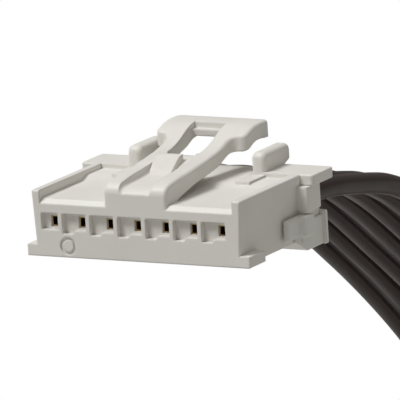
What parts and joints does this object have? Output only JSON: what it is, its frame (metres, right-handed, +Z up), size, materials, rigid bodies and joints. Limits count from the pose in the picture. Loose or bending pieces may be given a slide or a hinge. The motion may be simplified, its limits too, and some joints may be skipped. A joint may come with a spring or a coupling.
{
  "type": "wire-to-board cable assembly",
  "caption": "Flat row of black wires with a latching off-white receptacle on each end, crimp contacts inside, hanging from its plugged-in mating end.",
  "frame": {"origin": "middle of the contact row on the near mating face, where the header's pins enter", "axes": "+X along the contact row from circuit one, +Y from the mating face toward the wires, +Z up toward the latch"},
  "size_m": [0.0168, 0.0715, 0.0808],
  "materials": {
    "housing_plastic": "satin moulded off-white",
    "retainer_plastic": "satin moulded off-white",
    "terminal_metal": "stamped and folded phosphor bronze",
    "wire_insulation": "smooth black insulation"
  },
  "bodies": {
    "root": {"near_housing": "housing_plastic", "near_retainer": "retainer_plastic", "near_terminal_1": "terminal_metal", "near_terminal_2": "terminal_metal", "near_terminal_3": "terminal_metal", "near_terminal_4": "terminal_metal", "near_terminal_5": "terminal_metal", "near_terminal_6": "terminal_metal", "near_terminal_7": "terminal_metal", "wire_1": "wire_insulation", "wire_2": "wire_insulation", "wire_3": "wire_insulation", "wire_4": "wire_insulation", "wire_5": "wire_insulation", "wire_6": "wire_insulation", "wire_7": "wire_insulation", "far_housing": "housing_plastic", "far_retainer": "retainer_plastic", "far_terminal_1": "terminal_metal", "far_terminal_2": "terminal_metal", "far_terminal_3": "terminal_metal", "far_terminal_4": "terminal_metal", "far_terminal_5": "terminal_metal", "far_terminal_6": "terminal_metal", "far_terminal_7": "terminal_metal"}
  },
  "joints": []
}
